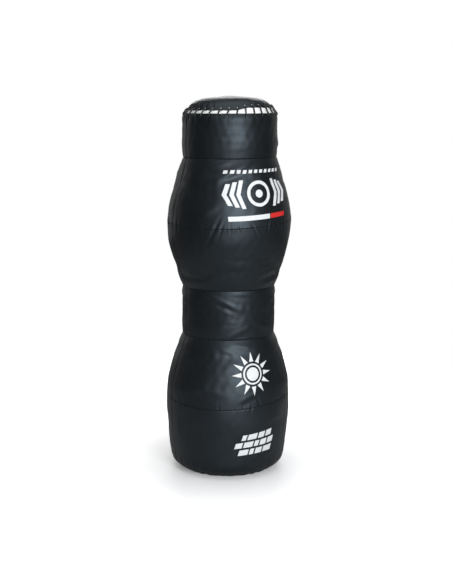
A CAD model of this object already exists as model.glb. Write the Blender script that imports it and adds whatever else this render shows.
"""Looks of the grappling dummy: stuffed cover, lacing, prints, inner layers, studio and camera."""

import math

import bmesh
import bpy
import numpy as np
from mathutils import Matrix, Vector


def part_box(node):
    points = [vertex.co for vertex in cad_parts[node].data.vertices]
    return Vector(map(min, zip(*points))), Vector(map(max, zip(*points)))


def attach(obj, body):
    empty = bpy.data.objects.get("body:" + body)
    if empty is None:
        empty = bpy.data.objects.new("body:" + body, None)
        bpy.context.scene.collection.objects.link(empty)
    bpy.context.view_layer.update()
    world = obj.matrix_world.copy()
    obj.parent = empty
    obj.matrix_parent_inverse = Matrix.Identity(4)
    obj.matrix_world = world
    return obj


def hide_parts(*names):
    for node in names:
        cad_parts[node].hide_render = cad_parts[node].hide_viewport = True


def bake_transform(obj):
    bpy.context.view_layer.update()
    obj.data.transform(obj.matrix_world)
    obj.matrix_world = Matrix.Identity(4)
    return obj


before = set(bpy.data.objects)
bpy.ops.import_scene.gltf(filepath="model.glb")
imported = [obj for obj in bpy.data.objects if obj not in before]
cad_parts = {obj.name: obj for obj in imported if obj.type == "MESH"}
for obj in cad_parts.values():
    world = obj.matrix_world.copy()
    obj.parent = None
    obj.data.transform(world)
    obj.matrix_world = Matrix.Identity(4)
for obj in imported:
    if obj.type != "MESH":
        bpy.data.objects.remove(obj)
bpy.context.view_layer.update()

# ---- Sizes, in metres. Heights and radii of the seams come from the frame ----
MM = 0.001
FLOOR_RADIUS = 136.0 * MM
ROLL_CENTRE = (FLOOR_RADIUS, 53.0 * MM)
ROLL_RADIUS = 48.0 * MM
ROLL_TOP = math.radians(-4.7)
ROLL_SEAM = math.radians(-68.0)
SHOULDER_RADIUS = 24.0 * MM
SWELL = {"leg": 1.5, "hip": 5.0, "waist": -1.5, "belly": 4.0, "chest": 1.5, "head": 1.5}

COVER, UNDERLAP, CANVAS = 1.6 * MM, 1.2 * MM, 0.8 * MM
SEAM_LIP = 9.0 * MM
WAY_REACH = 10.0 * MM
SEAM_ROLL = 2.0 * MM  # radius at which the cover turns into a seam
SEAM_PLAY = 0.12 * MM  # half of the space between two lips
HEM = 3.0 * MM
CROWN_GAP = (14.5 * MM, 25.5 * MM)  # along the crown, from the head's edge to the crown's: least, most
FOAM_TOP, FOAM_BOTTOM = 2.4 * MM, 11.6 * MM

STITCHES = 32
STITCH_PITCH = math.tau / STITCHES
STITCH_LEAN = math.radians(1.0)
FIRST_STITCH = math.pi / 2 + STITCH_PITCH / 2
HEAD_HOLE_DROP = 7.5 * MM
CROWN_HOLE_DROP = 7.0 * MM  # from the crown's edge
LACE_RADIUS = 2.3 * MM

CAMERA_AZIMUTH = math.radians(-26.0)
TOWARDS_CAMERA = math.atan2(-math.cos(CAMERA_AZIMUTH), math.sin(CAMERA_AZIMUTH))
CAMERA_RIGHT = TOWARDS_CAMERA + math.pi / 2
CAMERA_DISTANCE = 3.8
CAMERA_SIDE = -4.4 * MM
CAMERA_HEIGHT = 1.21
CAMERA_PITCH = math.radians(9.5)
CAMERA_LENS = 73.4

GRID = 3.4 * MM  # spacing of the cover's mesh
RNG = np.random.default_rng(7)


def put(name, data):
    piece = bpy.data.objects.new(name, data)
    bpy.context.collection.objects.link(piece)
    return piece


def evaluated(piece):
    return piece.evaluated_get(bpy.context.evaluated_depsgraph_get())


def mesh_points(mesh):
    flat = np.empty(len(mesh.vertices) * 3)
    mesh.vertices.foreach_get("co", flat)
    return flat.reshape(-1, 3)


def seam(node, top=False):
    """(radius, height) of a ring's outer surface at its lower or upper seam."""
    points = mesh_points(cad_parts[node].data)
    height = points[:, 2].max() if top else points[:, 2].min()
    level = points[np.abs(points[:, 2] - height) < 0.1 * MM]
    return float(np.hypot(level[:, 0], level[:, 1]).max()), float(height)


HIP_SEAM, LOWER_WAIST_SEAM, UPPER_WAIST_SEAM, CHEST_SEAM, NECK_SEAM = [
    seam(f"{ring}_front") for ring in ("hip", "waist", "belly", "chest", "head")
]
HEAD_EDGE = seam("head_front", top=True)
TOP = float(mesh_points(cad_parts["crown_panel"].data)[:, 2].max())


# ---- Profiles: a ring's wall in section, by distance along it from the lower seam ----
def smoothstep(share):
    share = np.clip(share, 0.0, 1.0)
    return share * share * (3 - 2 * share)


class Profile:
    """Points (radius, height) along a wall. Ways are the directions out of the wall at its two
    seams, or None where the wall just ends."""

    def __init__(self, points, low_way=(1.0, 0.0), high_way=(1.0, 0.0)):
        self.points = np.array(points)
        steps = np.hypot(*np.diff(self.points, axis=0).T)
        self.along = np.concatenate([[0.0], np.cumsum(steps)])
        self.length = self.along[-1]
        slope = np.gradient(self.points, self.along, axis=0)
        self.normals = np.stack([slope[:, 1], -slope[:, 0]], axis=1)
        self.ways = (low_way, high_way)

    def at(self, s):
        """Radius and height at a distance."""
        return tuple(np.interp(s, self.along, self.points[:, axis]) for axis in (0, 1))

    def way(self, s):
        """Direction out of the wall. It turns into the seam's own near the end."""
        out = [np.interp(s, self.along, self.normals[:, axis]) for axis in (0, 1)]
        for way, distance in zip(self.ways, (s, self.length - s)):
            if way is not None:
                share = smoothstep(distance / WAY_REACH)
                out = [way[axis] + (out[axis] - way[axis]) * share for axis in (0, 1)]
        size = np.hypot(*out)
        return out[0] / size, out[1] / size


def wall_points(low, high, swell, count=60):
    share = np.linspace(0, 1, count)
    radius = low[0] + (high[0] - low[0]) * share + 4 * swell * MM * share * (1 - share)
    return list(zip(radius, low[1] + (high[1] - low[1]) * share))


def arc_points(centre, radius, start, end, count=40):
    angles = np.linspace(start, end, count)
    return list(zip(centre[0] + radius * np.cos(angles), centre[1] + radius * np.sin(angles)))


def dome_points():
    """The crown in section, from the head's edge to the top."""
    across, height = HEAD_EDGE[0] - SHOULDER_RADIUS, TOP - HEAD_EDGE[1]
    dome = (across**2 + height**2 - SHOULDER_RADIUS**2) / (2 * (height - SHOULDER_RADIUS))
    meeting = math.atan2(dome - height, across)
    shoulder = arc_points((across, HEAD_EDGE[1]), SHOULDER_RADIUS, 0.0, meeting)
    return shoulder + arc_points((0.0, TOP - dome), dome, meeting, math.pi / 2, 120)[1:]


def base_points():
    """The base in section, from the axis to the foot's seam."""
    across = FOOT_SEAM[0] - FLOOR_RADIUS
    rim = (across**2 + FOOT_SEAM[1] ** 2) / (2 * FOOT_SEAM[1])
    seam_angle = math.atan2(FOOT_SEAM[1] - rim, across)
    floor = [(radius, 0.0) for radius in np.linspace(0.5 * MM, FLOOR_RADIUS, 40)[:-1]]
    return floor + arc_points((FLOOR_RADIUS, rim), rim, -math.pi / 2, seam_angle)


FOOT_SEAM, *ROLL = arc_points(ROLL_CENTRE, ROLL_RADIUS, ROLL_SEAM, ROLL_TOP)
FOOT_WAY = (math.cos(ROLL_SEAM), math.sin(ROLL_SEAM))
RINGS = ("leg", "hip", "waist", "belly", "chest", "head")
STATIONS = (ROLL[-1], HIP_SEAM, LOWER_WAIST_SEAM, UPPER_WAIST_SEAM, CHEST_SEAM, NECK_SEAM, HEAD_EDGE)
WALLS = [wall_points(*ends, SWELL[ring]) for ring, *ends in zip(RINGS, STATIONS, STATIONS[1:])]
PROFILES = {ring: Profile(wall) for ring, wall in zip(RINGS, WALLS)}
PROFILES["leg"] = Profile([FOOT_SEAM] + ROLL[:-1] + WALLS[0], FOOT_WAY)
PROFILES["head"] = Profile(WALLS[-1], high_way=None)
PROFILES["base"] = Profile(base_points(), None, FOOT_WAY)
PROFILES["crown"] = Profile(dome_points(), None, None)
HEAD_HOLE = PROFILES["head"].length - HEAD_HOLE_DROP


# ---- How the real dummy sits: a slight lean, seams a little out of level, a tilted crown ----
LEAN = 8.0 * MM
# Height, how much it rises towards the camera's right, and how much it sags in front, in mm
SEAM_TILTS = ((0.0, 0.0, 0.0), (HIP_SEAM[1], 3.8, 8.5), (LOWER_WAIST_SEAM[1], 1.5, 0.0),
              (UPPER_WAIST_SEAM[1], 0.5, 0.0), (CHEST_SEAM[1], 4.0, 5.5), (NECK_SEAM[1], 1.2, 0.0),
              (HEAD_EDGE[1], 0.5, 0.0), (TOP, 0.5, 0.0))
CROWN_TILT = 1.5 * MM


def settled(radius, angle, height):
    """World points of (radius, angle, height), with the lean and the tilts."""
    places, rises, sags = np.array(SEAM_TILTS).T
    rise = np.interp(height, places, rises * MM)
    rise = rise + CROWN_TILT * smoothstep((height - HEAD_EDGE[1]) / (20 * MM))
    sag = np.interp(height, places, sags * MM)
    side = angle - CAMERA_RIGHT
    level = height + (rise * np.cos(side) + sag * np.cos(2 * side)) * radius / HIP_SEAM[0]
    shift = LEAN * smoothstep(height / TOP)
    x = radius * np.cos(angle) + shift * math.cos(CAMERA_RIGHT)
    y = radius * np.sin(angle) + shift * math.sin(CAMERA_RIGHT)
    return np.stack([x, y, level], axis=-1)


# ---- Relief of the cover: what stuffing, seams and use do to the smooth wall ----
def turn_between(angle, other):
    """Signed angle from other to angle, within half a turn."""
    return (angle - other + math.pi) % math.tau - math.pi


def crown_edge(angle):
    """Distance along the crown at which its cover ends. The gap is wider on the camera's right."""
    side = np.degrees(turn_between(angle, TOWARDS_CAMERA))
    wide = smoothstep((side - 4) / 22) * (1 - smoothstep((side - 80) / 95))
    stitch = np.cos((angle - FIRST_STITCH) * STITCHES)
    return CROWN_GAP[0] + (CROWN_GAP[1] - CROWN_GAP[0]) * wide - 0.4 * MM * stitch


def crown_hole(angle):
    return crown_edge(angle) + CROWN_HOLE_DROP


# The lacing draws the crown's shoulder in, as (distance along the crown, how far out), in mm
CROWN_SETTLE = (
    (0, -3.0), (5, -4.6), (10, -6.2), (18, -7.2), (27, -4.8), (40, 0.2), (56, 3.6), (75, 4.0), (120, 0.8),
)
CROWN_CALM = 140.0 * MM  # radius within which the crown's lumps fade out
HEAD_SETTLE, HEAD_SETTLE_REACH = 2.6 * MM, 9.0 * MM


def random_waves(number, counts, pitch, sizes):
    """Waves round the dummy, as (count, pitch, phase, size)."""
    return [
        (RNG.integers(*counts), RNG.uniform(-pitch, pitch), RNG.uniform(0, math.tau),
         RNG.uniform(*sizes) * MM)
        for _ in range(number)
    ]


LUMPS = random_waves(14, (2, 9), 60, (0.15, 0.4))
RIPPLES = random_waves(16, (14, 40), 160, (0.03, 0.09))


def waves(table, angle, height):
    return sum(
        size * np.cos(count * angle + pitch * height + phase) for count, pitch, phase, size in table
    )


def pucker(row, angle, radius, distance, above):
    """A crease across a seam, from a row: degrees from the camera's side, depth, width, how far it
    runs below and above, and how much it leans."""
    degrees, depth, width, *runs, lean = row
    run = runs[above] * MM
    if run <= 0:
        return 0.0
    side = turn_between(angle, TOWARDS_CAMERA + math.radians(degrees)) * radius
    share = (side - lean * distance * (1 if above else -1)) / (width * MM)
    fade = np.exp(-((distance / run) ** 1.6))
    return depth * MM * fade * (0.45 * np.exp(-((np.abs(share) - 1.7) ** 2)) - np.exp(-(share**2)))


def scattered(count, depth, run, width=3.4):
    """Rows for small creases all round a seam, none of them alike."""
    rows = []
    for turn in range(count):
        degrees = 360.0 * (turn + RNG.uniform(-0.38, 0.38)) / count
        size = depth * RNG.uniform(0.1, 1.0) ** 1.5
        runs = run * RNG.uniform(0.4, 1.3, 2)
        rows.append((degrees, size, width * RNG.uniform(0.7, 1.5), *runs, RNG.uniform(-0.5, 0.5)))
    return rows


PUCKERS = {
    "foot": scattered(44, 1.9, 50, 7.5),
    "hip": scattered(52, 0.9, 11) + [
        (31, 2.0, 4.5, 0, 26, -0.35), (22, 1.3, 3, 8, 12, 0), (14, 1.2, 3, 0, 12, 0),
        (6, 1.0, 3, 6, 10, 0), (-8, 1.1, 3.5, 0, 13, 0), (-46, 1.6, 5, 18, 12, 0.4),
        (66, 1.4, 4, 14, 14, 0),
    ],
    "lower_waist": scattered(44, 0.5, 8),
    "upper_waist": scattered(44, 0.5, 8),
    "chest": scattered(52, 0.9, 10) + [
        (-13, 2.0, 6, 34, 24, 0.45), (-7, 1.5, 4, 20, 12, 0.3), (1, 1.4, 3, 12, 12, 0),
        (8, 1.5, 3, 8, 14, 0), (22, 1.8, 4, 26, 10, -0.5), (37, 2.0, 3.6, 16, 20, 0.2),
        (48, 2.3, 4.5, 30, 18, -0.5), (57, 1.6, 4, 18, 16, 0), (-76, 1.8, 5, 26, 22, 0),
        (-55, 1.4, 5, 22, 18, 0), (120, 1.8, 4, 24, 20, 0), (165, 1.8, 4, 22, 26, 0.4),
        (-140, 1.9, 4, 28, 18, -0.4),
    ],
    "neck": scattered(48, 0.7, 9),
}
SEAMS = ("foot", "hip", "lower_waist", "upper_waist", "chest", "neck", None)
SEAM_NAMES = {ring: pair for ring, *pair in zip(RINGS, SEAMS, SEAMS[1:])}
SEAM_NAMES.update(base=(None, "foot"), crown=(None, None))
SIDE_PUCKERS = [
    (RNG.uniform(0.03, HEAD_EDGE[1]), RNG.uniform(0.2, 0.8) ** 2 * MM, RNG.uniform(2.5, 5) * MM,
     RNG.uniform(5, 16) * MM)
    for _ in range(80)
]
SEAM_PULL, SEAM_PULL_REACH, SEAM_CALM = 1.5 * MM, 9.0 * MM, 60.0 * MM
SIDE_PULL, SIDE_PULL_REACH = 0.9 * MM, 7.0 * MM


def fold(row, angle, height, radius):
    """A long soft fold from one place to another, from a row: both ends as degrees from the camera's
    side and height, then the fold's size and width."""
    start, low, end, high, size, width = row
    begin = TOWARDS_CAMERA + math.radians(start)
    along = np.array([math.radians(end - start) * radius.mean(), (high - low) * MM])
    length = np.hypot(*along)
    along = along / length
    across, up = turn_between(angle, begin) * radius, height - low * MM
    share = (across * along[0] + up * along[1]) / length
    side = (up * along[0] - across * along[1]) / (width * MM)
    fade = np.exp(-((2.3 * (share - 0.5)) ** 4))
    return size * MM * fade * (np.exp(-(side**2)) - 0.7 * np.exp(-((side + 1.7) ** 2)))


FOLDS = {
    "waist": [
        (-34, 596, 16, 538, 1.8, 8), (-12, 575, 8, 548, 0.5, 7), (-14, 540, 10, 528, 0.6, 9),
        (-6, 448, 28, 486, 1.1, 9), (2, 592, 44, 586, 0.8, 7), (30, 500, 60, 470, 1.0, 9),
        (120, 585, 165, 540, 2.2, 8), (200, 470, 240, 520, 2.0, 8), (-95, 590, -60, 556, 1.8, 8),
        (60, 560, 95, 590, 1.6, 8),
    ],
    "chest": [
        (-14, 950, 22, 1002, 2.8, 10), (-30, 985, -2, 1002, 1.6, 9), (-30, 835, -6, 880, 1.2, 10),
        (130, 1000, 100, 955, 2.0, 9), (-120, 1000, -90, 950, 1.8, 9), (200, 830, 170, 880, 1.6, 10),
    ],
    "belly": [
        (28, 640, 62, 662, 1.6, 10), (-42, 622, -12, 640, 1.2, 10), (36, 612, 70, 628, 1.3, 7),
        (150, 640, 190, 668, 1.8, 10), (-130, 640, -100, 620, 1.6, 9),
    ],
    "hip": [
        (-12, 425, 12, 398, 1.2, 10), (2, 432, 26, 420, 1.2, 8), (10, 262, 34, 292, 1.4, 8),
        (-30, 300, 2, 285, 1.0, 10), (110, 430, 140, 395, 2.0, 9), (-120, 420, -95, 392, 1.8, 9),
        (180, 262, 205, 300, 1.6, 9),
    ],
    "leg": [
        (42, 195, 66, 182, 1.0, 9), (20, 66, 56, 84, 1.0, 9), (160, 200, 190, 170, 1.2, 10),
    ],
    "head": [
        (-18, 1068, 30, 1062, 0.5, 10), (-10, 1040, 26, 1046, 0.5, 9), (70, 1060, 110, 1040, 1.4, 9),
        (-140, 1070, -100, 1050, 1.4, 9),
    ],
}
PLEATS = [
    (RNG.uniform(0.6, 1.3), RNG.uniform(9, 26) * MM, RNG.uniform(-0.25, 0.25))
    for _ in range(STITCHES)
]
PLEAT_DEPTH, PLEAT_WIDTH, PLEAT_RIM = 1.0 * MM, 3.8 * MM, 9.0 * MM
DEEP_PLEATS = TOWARDS_CAMERA - math.radians(72)  # they are deepest on the camera's left


def pleats(angle, radius, distance, lean):
    """Radial creases that the lacing pulls, one from each hole. Distance is from the hole."""
    side_on = np.degrees(turn_between(angle, DEEP_PLEATS)) / 40
    depth = PLEAT_DEPTH * (0.65 + 1.3 * np.exp(-(side_on**2)))
    beyond, before = np.maximum(distance, 0), np.minimum(distance, 0)
    out = np.zeros_like(distance)
    for turn, (size, run, bend) in enumerate(PLEATS):
        hole = FIRST_STITCH + turn * STITCH_PITCH + lean
        side = turn_between(angle, hole) * radius - bend * distance
        fade = np.exp(-((beyond / run) ** 1.5)) * np.exp(-((before / PLEAT_RIM) ** 2))
        share = side / (PLEAT_WIDTH * (1 + 0.6 * np.clip(distance / run, 0, 1)))
        out += size * depth * fade * (0.5 * np.exp(-((np.abs(share) - 1.8) ** 2)) - np.exp(-(share**2)))
    return out


def relief(ring, angle, s):
    """How far the cover stands out of its smooth wall."""
    profile = PROFILES[ring]
    radius, height = profile.at(s)
    out = stuffed(ring, angle, s)
    if ring != "base":
        out = out + waves(LUMPS, angle, height) + waves(RIPPLES, angle, height)
    for name, distance, above in zip(SEAM_NAMES[ring], (s, profile.length - s), (True, False)):
        if name is None:
            continue
        distance = np.maximum(distance, 0)
        out = out * smoothstep(distance / SEAM_CALM) - SEAM_PULL * np.exp(-distance / SEAM_PULL_REACH)
        for row in PUCKERS[name]:
            out = out + pucker(row, angle, radius, distance, above)
    if ring in RINGS:
        for side in (0.0, math.pi):
            away = np.abs(turn_between(angle, side)) * radius
            out = out - SIDE_PULL * np.exp(-away / SIDE_PULL_REACH)
            for place, depth, width, run in SIDE_PUCKERS:
                share = (height - place - 3 * MM * side) / width
                out = out - depth * np.exp(-(share**2)) * np.exp(-away / run)
    for row in FOLDS.get(ring, ()):
        out = out + fold(row, angle, height, radius)
    if ring == "head":
        out = out + pleats(angle, radius, HEAD_EDGE[1] - HEAD_HOLE_DROP - height, -STITCH_LEAN)
        out = out - HEAD_SETTLE * np.exp((height - HEAD_EDGE[1]) / HEAD_SETTLE_REACH)
    if ring == "crown":
        out = 0.5 * out * smoothstep(radius / CROWN_CALM) + np.interp(s / MM, *zip(*CROWN_SETTLE)) * MM
        out = out + pleats(angle, radius, s - crown_hole(angle), STITCH_LEAN)
    if ring == "base":
        out = np.minimum(out, height)
    return out


# ---- Cloth: the whole skin is blown up between its seams, which stay where they are ----
SIM_COLUMNS = 216
SIM_ANGLES = np.linspace(0, math.tau, SIM_COLUMNS, endpoint=False)
SIM_STEP = 6.0 * MM
SIM_FRAMES = 22
SIM_GROWTH = 0.022  # how much larger than the wall each panel is cut
SIM_CAP, SIM_NOISE = 6.0 * MM, 0.25 * MM
SIM_OPENING = 30 * MM  # left flat round the top
SIM_RINGS = (*RINGS, "crown")
SIM_CLOTH = {
    "vertex_group_mass": "held", "quality": 6, "mass": 0.35, "tension_stiffness": 60,
    "compression_stiffness": 60, "shear_stiffness": 25, "bending_stiffness": 4, "air_damping": 3,
    "use_pressure": True, "uniform_pressure_force": 6, "shrink_min": -SIM_GROWTH,
}
# How much is kept of each ring's mean swelling, and of its dents
SIM_SHARES = {"leg": (0.45, 0.3), "hip": (1.0, 0.14), "waist": (1.0, 0.1), "belly": (1.0, 0.3),
              "chest": (0.85, 0.25), "head": (1.0, 0.1), "crown": (1.0, 0.3)}


def sim_rows():
    """Rows of the simulated skin: ring, distance along it, and whether it is held."""
    rows = []
    for ring in SIM_RINGS:
        length = PROFILES[ring].length - (SIM_OPENING if ring == "crown" else 0)
        count = max(3, round(length / SIM_STEP))
        rows += [(ring, length * index / count, index == 0) for index in range(count)]
    return rows + [("crown", length, True)]


def grid_faces(rows, columns, wrap):
    column = np.arange(columns if wrap else columns - 1)
    following = (column + 1) % columns
    low = np.arange(rows - 1)[:, None] * columns
    high = low + columns
    return np.stack([low + column, low + following, high + following, high + column], axis=-1)


def sim_mesh(rows):
    """The skin, closed at both ends."""
    layers = []
    for ring, s, held in rows:
        radius, height = PROFILES[ring].at(s)
        reach = radius + (0.0 if held else RNG.normal(0, SIM_NOISE, SIM_COLUMNS))
        x, y = reach * np.cos(SIM_ANGLES), reach * np.sin(SIM_ANGLES)
        layers.append(np.stack([x, y, np.full(SIM_COLUMNS, height)], axis=1))
    ring = np.arange(SIM_COLUMNS)
    faces = grid_faces(len(rows), SIM_COLUMNS, True).reshape(-1, 4).tolist()
    faces += [ring[::-1].tolist(), (ring + (len(rows) - 1) * SIM_COLUMNS).tolist()]
    mesh = bpy.data.meshes.new("skin_sim")
    mesh.from_pydata(np.concatenate(layers).tolist(), [], faces)
    return mesh, np.array(layers)


def simulate_skin():
    """Runs the cloth and returns how far each point of the skin moved outward."""
    rows = sim_rows()
    mesh, start = sim_mesh(rows)
    skin = put("skin_sim", mesh)
    held = np.flatnonzero(np.repeat([pin for _, _, pin in rows], SIM_COLUMNS))
    skin.vertex_groups.new(name="held").add(held.tolist(), 1.0, "REPLACE")
    cloth = skin.modifiers.new("cloth", "CLOTH")
    for name, value in SIM_CLOTH.items():
        setattr(cloth.settings, name, value)
    cloth.settings.effector_weights.gravity = 0
    cloth.collision_settings.use_collision = False
    scene = bpy.context.scene
    for step in range(SIM_FRAMES):
        scene.frame_set(step + 1)
    moved = mesh_points(evaluated(skin).data).reshape(start.shape) - start
    scene.frame_set(1)
    bpy.data.objects.remove(skin)
    across, up = np.array([PROFILES[ring].way(s) for ring, s, _ in rows]).T[..., None]
    outward = moved[..., 0] * np.cos(SIM_ANGLES) + moved[..., 1] * np.sin(SIM_ANGLES)
    out = np.clip(outward * across + moved[..., 2] * up, -SIM_CAP, SIM_CAP)
    out = (np.roll(out, 1, 1) + 2 * out + np.roll(out, -1, 1)) / 4
    level = out.mean(axis=1, keepdims=True)
    swelling, dents = np.array([SIM_SHARES[ring] for ring, _, _ in rows]).T[..., None]
    out = level * swelling + (out - level) * dents
    return {
        ring: np.array([(s, *swell) for (name, s, _), swell in zip(rows, out) if name == ring])
        for ring in SIM_RINGS
    }


SKIN = simulate_skin()


def stuffed(ring, angle, s):
    """The simulated swelling of the skin, read between its points."""
    if ring not in SKIN:
        return 0.0
    table = SKIN[ring]
    rows = np.interp(s, table[:, 0], np.arange(len(table)))
    columns = (angle % math.tau) / math.tau * SIM_COLUMNS
    row, column = np.clip(rows.astype(int), 0, len(table) - 2), columns.astype(int)
    up, over = smoothstep(rows - row), smoothstep(columns - column)
    column, following = column % SIM_COLUMNS, (column + 1) % SIM_COLUMNS
    values = table[:, 1:]
    low = values[row, column] * (1 - over) + values[row, following] * over
    high = values[row + 1, column] * (1 - over) + values[row + 1, following] * over
    return low * (1 - up) + high * up


# ---- The skin: where a point of the cover lies ----
def skin(ring, angle, s, depth=0.0):
    """World points of a ring's cover, or of what lies at a depth under it."""
    angle, s = np.broadcast_arrays(np.asarray(angle, float), np.asarray(s, float))
    profile = PROFILES[ring]
    radius, height = profile.at(s)
    across, up = profile.way(s)
    lift = relief(ring, angle, np.clip(s, 0, profile.length)) - depth
    return settled(radius + across * lift, angle, height + up * lift)


def crown_distance(radius):
    """Distance along the crown's profile where it has a radius."""
    return np.interp(-radius, -PROFILES["crown"].points[:, 0], PROFILES["crown"].along)


# ---- Meshes ----
def grid_piece(name, points, wrap=False, skip=None, fans=()):
    """A piece over a grid of points. Rows run up the wall and columns round it. A fan closes an end."""
    rows, columns = points.shape[:2]
    faces = grid_faces(rows, columns, wrap)
    if skip is not None:
        faces = faces[~skip]
    faces = faces.reshape(-1, 4).tolist()
    vertices = points.reshape(-1, 3).tolist()
    for fan in fans:
        row, way = (0, -1) if fan == "start" else (rows - 1, 1)
        for index in range(columns):
            edge = (row * columns + index, row * columns + (index + 1) % columns)
            faces.append((*edge[::way], len(vertices)))
        vertices.append(points[row].mean(axis=0).tolist())
    mesh = bpy.data.meshes.new(name)
    mesh.from_pydata(vertices, [], faces)
    mesh.validate()
    return put(name, mesh)


def bmesh_piece(name, bm):
    mesh = bpy.data.meshes.new(name)
    bm.to_mesh(mesh)
    bm.free()
    return put(name, mesh)


def baked(piece):
    """Applies the piece's modifiers to its mesh."""
    mesh = bpy.data.meshes.new_from_object(evaluated(piece))
    piece.modifiers.clear()
    old, piece.data = piece.data, mesh
    mesh.name = piece.name
    bpy.data.meshes.remove(old)
    return piece


def moved_to(piece, points):
    piece.data.vertices.foreach_set("co", points.ravel())
    piece.data.update()
    return piece


def smooth(piece):
    piece.data.polygons.foreach_set("use_smooth", [True] * len(piece.data.polygons))
    return piece


def thick(piece, thickness, side=-1):
    """Gives a skin its thickness: inward at side -1, outward at 1."""
    solidify = piece.modifiers.new("thickness", "SOLIDIFY")
    solidify.thickness = thickness
    solidify.offset = side
    return smooth(baked(piece))


# Places across an edge, as (distance from the seam, depth): first the lip, then the roll.
LIP_PLACES = [(SEAM_PLAY, SEAM_LIP), (SEAM_PLAY, 6 * MM), (SEAM_PLAY, 3.6 * MM)]
ROLL_PLACES = [
    (SEAM_PLAY + SEAM_ROLL * (1 - math.cos(turn)), SEAM_ROLL * (1 - math.sin(turn)))
    for turn in np.radians([0, 20, 40, 60, 90])
]
NEAR_PLACES = [(SEAM_PLAY + SEAM_ROLL + extra * MM, 0.0) for extra in (0.8, 2.0, 3.8)]
SEAM_PLACES = LIP_PLACES + ROLL_PLACES + NEAR_PLACES
HEM_PLACES = [(18 * MM, HEM), (12 * MM, HEM), (6 * MM, HEM)] + [
    (HEM / 2 * (1 - math.sin(turn)), HEM / 2 * (1 - math.cos(turn)))
    for turn in np.radians([180, 150, 120, 90, 60, 30, 0])
] + [(3 * MM, 0.0)]
SHORT_LIPS = HEAD_EDGE[1] - 38 * MM  # height above which the side seams' lips stop at the hem's depth


def spread(length, low, high):
    """Places over a length and their depths, with an edge's own places at each end. Length may be
    a column of lengths."""
    low, high = np.array(low), np.array(high)[::-1]
    gap = length - low[-1, 0] - high[0, 0]
    count = max(2, round(np.max(gap) / GRID))
    middle = low[-1, 0] + gap * np.arange(1, count) / count
    places = np.concatenate([low[:, 0] + 0 * length, middle, length - high[:, 0]], axis=-1)
    return places, np.concatenate([low[:, 1], np.zeros(count - 1), high[:, 1]])


def half_panel(ring, side):
    """One half of a ring's cover. The front half runs from -X round by -Y to +X."""
    profile = PROFILES[ring]
    rows = spread(profile.length, SEAM_PLACES, HEM_PLACES if ring == "head" else SEAM_PLACES)
    s, row_depth = np.array(rows)[..., None]
    radius, height = profile.at(s)
    places, column_depth = spread(math.pi * radius, SEAM_PLACES, SEAM_PLACES)
    column_depth = np.where(height > SHORT_LIPS, np.minimum(column_depth, HEM), column_depth)
    angle = (math.pi if side == "front" else 0.0) + places / radius
    points = skin(ring, angle, s, np.maximum(row_depth, column_depth))
    # Where two seams cross, their lips would meet in a point, so the corner is left out
    corner = (row_depth > SEAM_ROLL) & (row_depth != HEM) & (column_depth > SEAM_ROLL)
    skip = corner[:-1, :-1] | corner[1:, 1:] | corner[:-1, 1:] | corner[1:, :-1]
    return thick(grid_piece(f"{ring}_{side}_cover", points, skip=skip), COVER)


def round_angles(count):
    return np.linspace(0, math.tau, count, endpoint=False)[None, :]


def panel_angles(ring):
    """Angles round a disc's edge, as many at each stitch."""
    return round_angles(round(math.tau * PROFILES[ring].points[:, 0].max() / GRID / STITCHES) * STITCHES)


def disc_cover(ring, s, depth, fan):
    """A round panel: the crown, or the base."""
    points = skin(ring, panel_angles(ring), s, depth)
    return thick(grid_piece(f"{ring}_cover", points, wrap=True, fans=(fan,)), COVER)


def crown_cover():
    length = PROFILES["crown"].length
    hem = np.array(HEM_PLACES)
    edge = crown_edge(panel_angles("crown")) + hem[:, 0][:, None]
    count = round(length / (GRID * 0.9))
    share = np.arange(1, count)[:, None] / count
    s = np.concatenate([edge, edge[-1:] + (length - edge[-1:]) * share])
    depth = np.concatenate([hem[:, 1], np.zeros(count - 1)])[:, None]
    return disc_cover("crown", s, depth, "end")


def base_cover():
    profile = PROFILES["base"]
    count = round(profile.length / (2 * GRID))
    rows = [(profile.length * index / count, 0.0) for index in range(1, count)]
    rows = [row for row in rows if row[0] < profile.length - 8 * MM]
    rows += [(profile.length - distance, depth) for distance, depth in SEAM_PLACES[::-1]]
    return disc_cover("base", *np.array(rows).T[..., None], "start")


# ---- Punched holes, drawn out a little by the cord ----
HOLE_WIDTH, HOLE_REACH, HOLE_SIDES = 5.0 * MM, 5 * MM, 16
HOLE_LENGTHS = {"head": 5.6 * MM, "crown": 10.5 * MM}


def slot_points(centre, outward, along, length):
    """A prism with rounded ends through the cover at a hole."""
    outward, along = outward / np.linalg.norm(outward), along / np.linalg.norm(along)
    turns = math.tau * (np.arange(HOLE_SIDES) + 0.5) / HOLE_SIDES
    shift = np.where(np.sin(turns) > 0, 1, -1) * (length - HOLE_WIDTH) / 2
    rim = np.outer(np.cos(turns) * HOLE_WIDTH / 2, np.cross(outward, along))
    rim = rim + np.outer(np.sin(turns) * HOLE_WIDTH / 2 + shift, along)
    return [centre + outward * side * HOLE_REACH + rim for side in (-1, 1)]


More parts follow.
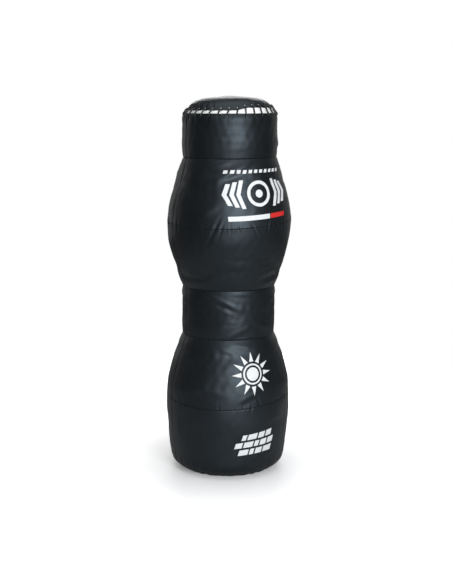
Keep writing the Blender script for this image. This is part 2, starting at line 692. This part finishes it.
def punch(ring, pieces):
    """Cuts the holes of the head's or the crown's edge. They reach away from the gap."""
    vertices, faces = [], []
    length = HOLE_LENGTHS[ring]
    way = 1 if ring == "crown" else -1
    rim = np.arange(HOLE_SIDES)
    for turn in range(STITCHES):
        angle = FIRST_STITCH + turn * STITCH_PITCH + way * STITCH_LEAN
        place = (crown_hole(angle) if ring == "crown" else HEAD_HOLE) + way * (length - HOLE_WIDTH) / 2
        centre = skin(ring, angle, place)
        along = skin(ring, angle, place + MM) - skin(ring, angle, place - MM)
        outward = skin(ring, angle, place, -MM) - centre
        low = rim + 2 * HOLE_SIDES * turn
        high = low + HOLE_SIDES
        vertices += slot_points(centre, outward, along, length)
        faces += [low[::-1].tolist(), high.tolist()]
        faces += np.stack([low, np.roll(low, -1), np.roll(high, -1), high], axis=1).tolist()
    mesh = bpy.data.meshes.new("holes")
    mesh.from_pydata(np.concatenate(vertices).tolist(), [], faces)
    bm = bmesh.new()
    bm.from_mesh(mesh)
    bmesh.ops.recalc_face_normals(bm, faces=bm.faces)
    cutter = bmesh_piece("holes", bm)
    for piece in pieces:
        boolean = piece.modifiers.new("holes", "BOOLEAN")
        boolean.operation = "DIFFERENCE"
        boolean.solver = "MANIFOLD"
        boolean.object = cutter
        baked(piece)
    bpy.data.objects.remove(cutter)


# ---- Underlap, lace and knot ----
def underlap():
    """The white sleeve under the lacing. It bulges a little between the stitches."""
    angle = round_angles(STITCHES * 16)
    edge = PROFILES["head"].length
    head_rows = np.linspace(edge - 36 * MM, edge, 14)[:-1, None]
    crown_rows = np.linspace(0, crown_distance(113 * MM), 26)[:, None]
    between = 0.5 - 0.5 * np.cos((angle - FIRST_STITCH) * STITCHES)
    gap = np.exp(-((crown_rows - 9 * MM) / (8 * MM)) ** 2)
    low = skin("head", angle, head_rows, 3.5 * MM)
    high = skin("crown", angle, crown_rows, (2.5 - 1.1 * gap * between + 0.6 * gap) * MM)
    return thick(grid_piece("lacing_underlap", np.concatenate([low, high]), wrap=True), UNDERLAP)


def lace_route():
    """Control points of the lace: out of each head hole, over the gap and into the crown hole."""
    edge = PROFILES["head"].length
    route = []
    for turn in range(STITCHES):
        angle = FIRST_STITCH + turn * STITCH_PITCH
        low, high = angle - STITCH_LEAN, angle + STITCH_LEAN
        drift = RNG.uniform(-0.9, 0.9) * MM / HEAD_EDGE[0]
        gap, end = crown_edge(high), crown_hole(high)
        places = (
            ("head", low, HEAD_HOLE, 5.5), ("head", low, HEAD_HOLE + 0.5 * MM, 0.5),
            ("head", low, HEAD_HOLE + 1.2 * MM, -2.4), ("head", low + drift, edge - 1 * MM, -2.2),
            ("crown", angle + drift, 0.45 * gap, -1.2), ("crown", high + drift, gap - 1 * MM, -2.7),
            ("crown", high, end - 1.5 * MM, -2.7), ("crown", high, end, 0.2), ("crown", high, end, 5.0),
            ("crown", angle + STITCH_PITCH / 2, 0.35 * gap, 8.0),
        )
        route += [skin(*place, depth * MM) for *place, depth in places]
    return route


def smooth_line(route, closed=False):
    """Points read along a smooth NURBS spline through the route, in order."""
    curve = bpy.data.curves.new("guide", "CURVE")
    curve.dimensions = "3D"
    curve.resolution_u = 12
    spline = curve.splines.new("NURBS")
    spline.points.add(len(route) - 1)
    for point, place in zip(spline.points, route):
        point.co = (*place, 1.0)
    spline.order_u = 3
    spline.use_endpoint_u = not closed
    spline.use_cyclic_u = closed
    guide = put("guide", curve)
    mesh = bpy.data.meshes.new_from_object(evaluated(guide))
    places = mesh_points(mesh)
    bpy.data.objects.remove(guide)
    bpy.data.meshes.remove(mesh)
    return places


LACE_STEP, LACE_LAY = 0.55 * MM, 4.2 * MM


def braided_cord(name, places):
    """A cord along the points. Two sets of strands cross over each other round it."""
    along = np.cumsum([0.0, *np.linalg.norm(np.diff(places, axis=0), axis=1)])
    at = np.linspace(0, along[-1], max(4, round(along[-1] / LACE_STEP)))
    places = np.stack([np.interp(at, along, places[:, axis]) for axis in range(3)], axis=1)
    tangents = np.gradient(places, axis=0)
    tangents /= np.linalg.norm(tangents, axis=1, keepdims=True)
    normal = np.cross(tangents[0], (0.3, 0.2, 1.0))
    normals = []
    for tangent in tangents:
        normal = normal - tangent * normal.dot(tangent)
        normal /= np.linalg.norm(normal)
        normals.append(normal)
    normals = np.array(normals)
    sideways = np.cross(tangents, normals)
    turn = round_angles(16)
    run = (np.arange(len(places)) * LACE_STEP / LACE_LAY * math.tau)[:, None]
    weave = np.maximum(np.cos(4 * turn + run), np.cos(4 * turn - run))
    reach = (LACE_RADIUS * (0.93 + 0.09 * weave))[..., None]
    turn = turn[..., None]
    rim = normals[:, None] * np.cos(turn) + sideways[:, None] * np.sin(turn)
    points = places[:, None] + reach * rim
    return smooth(grid_piece(name, points[:, ::-1], wrap=True, fans=("start", "end")))


KNOT_PLACE = (FIRST_STITCH - math.radians(0.2), PROFILES["head"].length - 28 * MM)


def closure_lace():
    """The cord from the knot, all the way round and back to the knot."""
    angle, s = KNOT_PLACE
    start, end = [
        [skin("head", side, s + rise * MM, -lift * MM) for rise, lift in ((2, 4.5), (8, 3), (17, 2.3))]
        for side in (angle + 0.012, angle - 0.012)
    ]
    last = [
        skin("head", FIRST_STITCH - STITCH_LEAN, HEAD_HOLE - drop * MM, depth * MM)
        for drop, depth in ((0, 5.5), (0.5, 0.3), (1.5, -2.3))
    ]
    route = start + lace_route()[3:] + last + end[::-1]
    return braided_cord("closure_lace_cord", smooth_line(route))


def lace_knot():
    """An overhand knot in the doubled ends, with two short stubs under it."""
    angle, s = KNOT_PLACE
    outward = skin("head", angle, s, -10 * MM) - skin("head", angle, s)
    outward /= np.linalg.norm(outward)
    centre = skin("head", angle, s - 5 * MM, -4.6 * MM)
    across = np.cross((0, 0, 1), outward)
    up = np.cross(outward, across)
    turn = round_angles(24).T
    x, y = np.sin(turn) + 2 * np.sin(2 * turn), np.cos(turn) - 2 * np.cos(2 * turn)
    loops = centre + (across * x * 1.45 + up * y * 1.9 - outward * np.sin(3 * turn) * 1.5) * MM
    loops = smooth_line(loops, closed=True)
    cords = [braided_cord("knot_loops", np.concatenate([loops, loops[:1]]))]
    for side in (-1, 1):
        stub = [
            centre + (across * side * x + up * y - outward * z) * MM
            for x, y, z in ((1.4, 2, 0), (1.8, -4, 0.5), (2.4, -9, 1.5), (3.4, -13, 2.2))
        ]
        cords.append(braided_cord(f"knot_stub_{side}", smooth_line(stub)))
    return joined("lace_knot_cord", cords)


def joined(name, pieces):
    """Several pieces as one, each still a part of its own."""
    bm = bmesh.new()
    for piece in pieces:
        bm.from_mesh(piece.data)
        bpy.data.objects.remove(piece)
    return bmesh_piece(name, bm)


# ---- Prints: the frame's flat artwork laid over the stuffed cover ----
FILM_LIFT = 0.28 * MM
FILM_STEP = 3.4 * MM


def draped_film(node, ring):
    """A print, cut into small faces that follow the cover."""
    profile = PROFILES[ring]
    low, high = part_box(node)
    bm = bmesh.new()
    bm.from_mesh(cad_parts[node].data)
    bmesh.ops.remove_doubles(bm, verts=bm.verts, dist=0.001 * MM)
    angles = [math.atan2(vertex.co.y, vertex.co.x) for vertex in bm.verts]
    step = FILM_STEP / profile.points[:, 0].max()
    heights = np.arange(low[2] + FILM_STEP, high[2], FILM_STEP)
    cuts = [((0, 0, height), (0, 0, 1)) for height in heights]
    for angle in np.arange(min(angles) + step, max(angles), step):
        cuts.append(((0, 0, 0), (-math.sin(angle), math.cos(angle), 0)))
    for spot, normal in cuts:
        everything = bm.verts[:] + bm.edges[:] + bm.faces[:]
        bmesh.ops.bisect_plane(bm, geom=everything, plane_co=spot, plane_no=normal)
    piece = bmesh_piece(f"{node}_film", bm)
    x, y, height = mesh_points(piece.data).T
    s = np.interp(height, profile.points[:, 1], profile.along)
    lift = np.hypot(x, y) - profile.at(s)[0]
    return moved_to(piece, skin(ring, np.arctan2(y, x), s, -(FILM_LIFT + lift)))


# ---- Foam, liners and filling ----
FOAM_GRID, FOAM_EDGE = 8 * MM, 3 * MM
FOAM = FOAM_BOTTOM - FOAM_TOP
# How far the sheets stay from the lower seam and from the upper one, in mm
FOAM_GAPS = dict(leg=(13, 3), hip=(3, 21), waist=(3, 22), belly=(3, 3), chest=(3, 3), head=(3, 42))


def foam_sheets(ring):
    """Two sheets of foam under a ring's cover, front and back."""
    profile = PROFILES[ring]
    low, high = np.multiply(FOAM_GAPS[ring], MM)
    count = max(4, round((profile.length - low - high) / FOAM_GRID))
    s = np.linspace(low, profile.length - high, count)[:, None]
    radius = profile.at(s)[0]
    angle = (FOAM_EDGE + np.linspace(0, 1, 76) * (math.pi * radius - 2 * FOAM_EDGE)) / radius
    sheets = [
        thick(grid_piece(f"{ring}_foam_sheet", skin(ring, start + angle, s, FOAM_TOP)), FOAM)
        for start in (0.0, math.pi)
    ]
    return smooth(joined(f"{ring}_foam_sheets", sheets))


def foam_disc(ring, first, last, fan):
    points = skin(ring, round_angles(96), np.linspace(first, last, 18)[:, None], FOAM_TOP)
    return thick(grid_piece(f"{ring}_foam_disc", points, wrap=True, fans=(fan,)), FOAM)


def core(name, node, voxel, inset, lump):
    """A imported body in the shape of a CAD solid, a little smaller and uneven."""
    piece = put(name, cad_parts[node].data.copy())
    remesh = piece.modifiers.new("remesh", "REMESH")
    remesh.mode = "VOXEL"
    remesh.voxel_size = voxel
    baked(piece)
    points = mesh_points(piece.data)
    x, y, height = points.T
    bumps = [
        np.cos(count * np.arctan2(y, x) + 1.7 * pitch * height + phase)
        for count, pitch, phase, _ in LUMPS + RIPPLES
    ]
    normals = np.array([vertex.normal for vertex in piece.data.vertices])
    x, y, height = (points - normals * (inset + lump * (0.5 - np.mean(bumps, axis=0)))[:, None]).T
    return smooth(moved_to(piece, settled(np.hypot(x, y), np.arctan2(y, x), height)))


# ---- Materials ----
class Paint:
    """A node material with a Principled shader, and short ways to add to it. In the names of
    sockets, _ stands for a space."""

    def __init__(self, name, **settings):
        self.material = bpy.data.materials.new(name)
        self.material.use_nodes = True
        self.tree = self.material.node_tree
        self.shader = self.tree.nodes["Principled BSDF"]
        self.set(self.shader, settings)
        self.place = self.node("TexCoord").outputs["Object"]
        self.normal = None

    def set(self, node, settings):
        for name, value in settings.items():
            socket = node.inputs.get(name.replace("_", " "))
            if socket:
                socket.default_value = value
            else:
                setattr(node, name, value)

    def node(self, kind, **settings):
        node = self.tree.nodes.new(f"ShaderNode{kind}")
        self.set(node, settings)
        return node

    def link(self, output, node, socket):
        self.tree.links.new(output, node.inputs[socket])

    def texture(self, kind, **settings):
        node = self.node(f"Tex{kind}", **settings)
        self.link(self.place, node, "Vector")
        return node.outputs

    def noise(self, scale, detail=3.0, roughness=0.5):
        return self.texture("Noise", Scale=scale, Detail=detail, Roughness=roughness)["Fac"]

    def cells(self, scale):
        return self.texture("Voronoi", Scale=scale)["Distance"]

    def scaled(self, factor, low, high, **settings):
        node = self.node("MapRange", To_Min=low, To_Max=high, **settings)
        self.link(factor, node, "Value")
        return node.outputs["Result"]

    def both(self, first, second, operation):
        node = self.node("Math", operation=operation)
        self.link(first, node, 0)
        self.link(second, node, 1)
        return node.outputs["Value"]

    def colour(self, factor, *stops):
        """Colours the surface by a ramp of (place, colour) over a factor."""
        node = self.node("ValToRGB")
        elements = node.color_ramp.elements
        while len(elements) < len(stops):
            elements.new(0.5)
        for element, (place, colour) in zip(elements, stops):
            element.position = place
            element.color = (*colour, 1.0)
        self.link(factor, node, "Fac")
        self.link(node.outputs["Color"], self.shader, "Base Color")

    def rough(self, factor, low, high):
        self.link(self.scaled(factor, low, high), self.shader, "Roughness")

    def bump(self, height, strength, distance):
        node = self.node("Bump", Strength=strength, Distance=distance * MM)
        self.link(height, node, "Height")
        if self.normal is not None:
            self.link(self.normal, node, "Normal")
        self.normal = node.outputs["Normal"]
        self.link(self.normal, self.shader, "Normal")


def split_by_camera(tree, seen, lit, output):
    """Shows one shader to the camera and lets another one light the scene."""
    mix, path = tree.nodes.new("ShaderNodeMixShader"), tree.nodes.new("ShaderNodeLightPath")
    sources = (path.outputs["Is Camera Ray"], lit.outputs[0], seen.outputs[0])
    for source, socket in zip(sources, mix.inputs):
        tree.links.new(source, socket)
    tree.links.new(mix.outputs[0], tree.nodes[output].inputs["Surface"])


def grey(value):
    return (value, value, value)


def leatherette():
    """Black synthetic leather: fine pebbled grain, semi-gloss, a little rubbed."""
    paint = Paint("black_leatherette", Specular_IOR_Level=0.5, Specular_Tint=(0.72, 0.87, 1.0, 1.0))
    broad = paint.noise(9.0, 4.0, 0.55)
    paint.colour(broad, (0.3, (0.0050, 0.0061, 0.0070)), (0.7, (0.0078, 0.0090, 0.0100)))
    fine = paint.scaled(paint.noise(160.0, 2.0), -0.03, 0.03)
    gloss = paint.both(paint.scaled(broad, 0.41, 0.51), fine, "ADD")
    paint.link(gloss, paint.shader, "Roughness")
    paint.bump(paint.noise(38.0, 3.0, 0.55), 0.2, 0.5)
    paint.bump(paint.cells(620.0), 0.45, 0.11)
    paint.bump(paint.noise(1500.0, 2.0), 0.3, 0.05)
    return paint.material


def grained(name, tones, stops, gloss, roughness, grain, **settings):
    """A material of two tones, uneven gloss and a pebbled grain."""
    paint = Paint(name, **settings)
    paint.colour(paint.noise(*tones), *stops)
    paint.rough(paint.noise(gloss), *roughness)
    cells, strength, distance = grain
    paint.bump(paint.cells(cells), strength, distance)
    return paint.material


def film(name, dark, light):
    """Printed film: nearly flat colour over the leather's grain."""
    stops = (0.28, dark), (0.5, light)
    grain = (620.0, 0.3, 0.08)
    return grained(name, (45.0, 4.0, 0.6), stops, 200.0, (0.40, 0.52), grain, Specular_IOR_Level=0.4)


def lace_black():
    paint = Paint("black_cord", Sheen_Weight=0.15)
    thread = paint.noise(900.0, 2.0)
    paint.colour(thread, (0.3, grey(0.008)), (0.7, grey(0.022)))
    paint.rough(thread, 0.62, 0.85)
    paint.bump(thread, 0.5, 0.15)
    return paint.material


def canvas():
    paint = Paint("natural_canvas", Sheen_Weight=0.1)
    threads = [
        paint.texture("Wave", bands_direction=direction, Scale=260.0, Distortion=1.5)["Fac"]
        for direction in ("X", "Z")
    ]
    paint.colour(paint.noise(25.0), (0.3, (0.52, 0.47, 0.36)), (0.7, (0.64, 0.6, 0.49)))
    paint.rough(paint.noise(120.0), 0.8, 0.95)
    paint.bump(paint.both(*threads, "MULTIPLY"), 0.6, 0.3)
    return paint.material


def shredded_textile():
    """Rags of many colours pressed together."""
    paint = Paint("shredded_textile", Sheen_Weight=0.2)
    rags, split = paint.texture("Voronoi", Scale=55.0), paint.node("SeparateColor")
    paint.link(rags["Color"], split, "Color")
    paint.colour(split.outputs["Red"], (0.1, (0.12, 0.14, 0.2)), (0.4, (0.32, 0.33, 0.36)),
                 (0.6, (0.5, 0.46, 0.4)), (0.8, (0.3, 0.12, 0.12)), (0.95, (0.62, 0.62, 0.6)))
    paint.rough(paint.noise(80.0), 0.85, 0.98)
    paint.bump(rags["Distance"], 0.9, 3)
    paint.bump(paint.noise(400.0), 0.6, 0.5)
    return paint.material


def pale_floor():
    """A floor that throws less light back at the dummy than it shows."""
    paint = Paint("pale_floor", Specular_IOR_Level=0.2, Emission_Color=(1.0, 1.0, 1.0, 1.0))
    paint.colour(paint.noise(3.0), (0.3, grey(0.86)), (0.7, grey(0.88)))
    paint.rough(paint.noise(8.0), 0.6, 0.75)
    reach = paint.node("VectorMath", operation="LENGTH")
    paint.link(paint.place, reach, 0)
    glow = paint.scaled(
        reach.outputs["Value"], 0.15, 0.75, From_Min=0.1, From_Max=0.75, interpolation_type="SMOOTHSTEP"
    )
    paint.link(glow, paint.shader, "Emission Strength")
    bounced = paint.node("BsdfDiffuse", Color=(0.44, 0.44, 0.44, 1.0))
    split_by_camera(paint.tree, paint.shader, bounced, "Material Output")
    return paint.material


# ---- All the pieces ----
LEATHER, CORD, CANVAS_CLOTH, TEXTILE = leatherette(), lace_black(), canvas(), shredded_textile()
WHITE = grained(
    "white_leatherette", (30.0,), ((0.3, (0.80, 0.80, 0.78)), (0.7, (0.88, 0.88, 0.87))),
    90.0, (0.42, 0.55), (700.0, 0.4, 0.1), Specular_IOR_Level=0.4,
)
FOAM_GREY = grained(
    "grey_foam", (60.0,), ((0.3, (0.36, 0.36, 0.35)), (0.7, (0.5, 0.5, 0.48))),
    300.0, (0.85, 0.97), (900.0, 0.8, 0.4), Sheen_Weight=0.1,
)
PRINT_WHITE = film("print_white", (0.66, 0.67, 0.68), (0.76, 0.77, 0.78))
PRINT_RED = film("print_red", (0.56, 0.020, 0.017), (0.68, 0.030, 0.025))

WAIST_BEND = ("legs", "waist", (0, 0, 0.40), (0, 0, 0.51))
SIDE_BEND = ("waist", "torso", (0, 0, 0.60), (0, 0, 0.76))
FOLLOWS = {
    "leg": "legs", "hip": WAIST_BEND, "waist": WAIST_BEND, "belly": SIDE_BEND, "chest": "torso",
    "head": "torso",
}
INNER_FOLLOWS = {"legs": WAIST_BEND, "waist": WAIST_BEND, "torso": SIDE_BEND}


def place(piece, follows, material, slot, *nodes, fill=None):
    """Gives a piece its material, the nodes it stands for and the body or bend it follows."""
    piece.data.materials.clear()
    piece.data.materials.append(material)
    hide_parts(*nodes)
    if isinstance(follows, str):
        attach(piece, follows)
    else:
        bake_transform(piece)


def make_covers():
    covers = {(ring, side): half_panel(ring, side) for ring in RINGS for side in ("front", "back")}
    punch("head", [covers["head", "front"], covers["head", "back"]])
    for (ring, side), piece in covers.items():
        place(piece, FOLLOWS[ring], LEATHER, "cover_leather", f"{ring}_{side}", fill=1.0)
    crown = crown_cover()
    punch("crown", [crown])
    place(crown, "torso", LEATHER, "cover_leather", "crown_panel", fill=0.95)
    place(base_cover(), "legs", LEATHER, "cover_leather", "base_panel")


def make_trim():
    place(underlap(), "torso", WHITE, "underlap_white", "lacing_tongue")
    place(closure_lace(), "torso", CORD, "lace_black", "closure_lace")
    place(lace_knot(), "torso", CORD, "lace_black", "lace_knot")
    for node in ("chest_print", "chest_print_accent", "hip_print", "leg_print"):
        ring = node.partition("_")[0]
        red = node.endswith("accent")
        colour, slot = (PRINT_RED, "print_red") if red else (PRINT_WHITE, "print_white")
        place(draped_film(node, ring), FOLLOWS[ring], colour, slot, node)


def make_insides():
    for ring in RINGS:
        place(foam_sheets(ring), FOLLOWS[ring], FOAM_GREY, "foam", f"{ring}_foam", fill=1.0)
    start, end = crown_distance(104 * MM), PROFILES["crown"].length - MM
    place(foam_disc("crown", start, end, "end"), "torso", FOAM_GREY, "foam", "crown_foam", fill=1.0)
    place(foam_disc("base", 2 * MM, 146 * MM, "start"), "legs", FOAM_GREY, "foam", "base_foam", fill=1.0)
    for body, follows in INNER_FOLLOWS.items():
        node = f"{body}_filling"
        sack = thick(core(f"{body}_canvas_sack", node, 9 * MM, 1.7 * MM, 0.6 * MM), CANVAS, 1)
        place(sack, follows, CANVAS_CLOTH, "liner_canvas", f"{body}_liner", fill=1.0)
        filling = core(f"{body}_textile_filling", node, 8 * MM, 3.2 * MM, 2.5 * MM)
        place(filling, follows, TEXTILE, "filling_textile", node, fill=1.0)


# ---- Studio ----
def make_floor():
    angle, reach = round_angles(96), np.array([1.7, 1.2, 0.8, 0.3])[:, None]
    x, y = reach * np.cos(angle), reach * np.sin(angle)
    points = np.stack([x, y, np.full_like(x, -0.2 * MM)], axis=-1)
    floor = grid_piece("floor", points, wrap=True, fans=("end",))
    floor.data.materials.append(pale_floor())


def soft_box(name, azimuth, height, distance, size, radiance, colour=(1, 1, 1)):
    """An area light that faces the dummy, placed by its azimuth from the front in degrees."""
    turn = math.radians(azimuth)
    target = Vector((0, 0, 0.62))
    spot = Vector((math.sin(turn) * distance, -math.cos(turn) * distance, height))
    light = bpy.data.lights.new(name, "AREA")
    light.shape = "RECTANGLE"
    light.size, light.size_y = size
    light.energy = radiance * math.pi * size[0] * size[1]
    light.color = colour
    lamp = put(name, light)
    lamp.location = spot
    lamp.rotation_euler = (target - spot).to_track_quat("-Z", "Y").to_euler()
    lamp.visible_camera = False


def make_lights():
    """A large soft box in front, one overhead, and weaker ones behind for the edges and the back."""
    soft_box("front", -10, 1.7, 4.4, (2.5, 2.7), 10.0, (0.95, 0.98, 1.0))
    soft_box("overhead", -11, 4.2, 0.6, (4.0, 4.0), 1.5)
    soft_box("behind", 154, 1.6, 4.4, (2.4, 2.7), 5.5)
    soft_box("behind_right", 120, 1.3, 3.0, (2.0, 2.2), 0.5, (1.0, 0.98, 0.95))
    soft_box("behind_left", -160, 1.3, 3.0, (2.0, 2.2), 0.6, (1.0, 0.98, 0.95))


def make_world():
    """White behind the dummy, and dim from all round."""
    world = bpy.data.worlds.new("white_studio")
    bpy.context.scene.world = world
    world.use_nodes = True
    nodes = world.node_tree.nodes
    seen, lit = nodes["Background"], nodes.new("ShaderNodeBackground")
    for background, strength in ((seen, 1.0), (lit, 0.06)):
        background.inputs["Color"].default_value = (1.0, 1.0, 1.0, 1.0)
        background.inputs["Strength"].default_value = strength
    split_by_camera(world.node_tree, seen, lit, "World Output")
    bpy.context.scene.view_settings.view_transform = "Standard"


def make_camera():
    camera = bpy.data.cameras.new("camera")
    camera.sensor_fit = "VERTICAL"
    camera.sensor_height = 36
    camera.lens = CAMERA_LENS
    holder = put("camera", camera)
    right = Vector((math.cos(CAMERA_AZIMUTH), math.sin(CAMERA_AZIMUTH), 0.0))
    away = Vector((math.sin(CAMERA_AZIMUTH), -math.cos(CAMERA_AZIMUTH), 0.0))
    holder.location = away * CAMERA_DISTANCE + right * CAMERA_SIDE + Vector((0.0, 0.0, CAMERA_HEIGHT))
    holder.rotation_euler = (math.pi / 2 - CAMERA_PITCH, 0.0, CAMERA_AZIMUTH)
    bpy.context.scene.camera = holder


make_covers()
make_trim()
make_insides()
make_floor()
make_lights()
make_world()
make_camera()
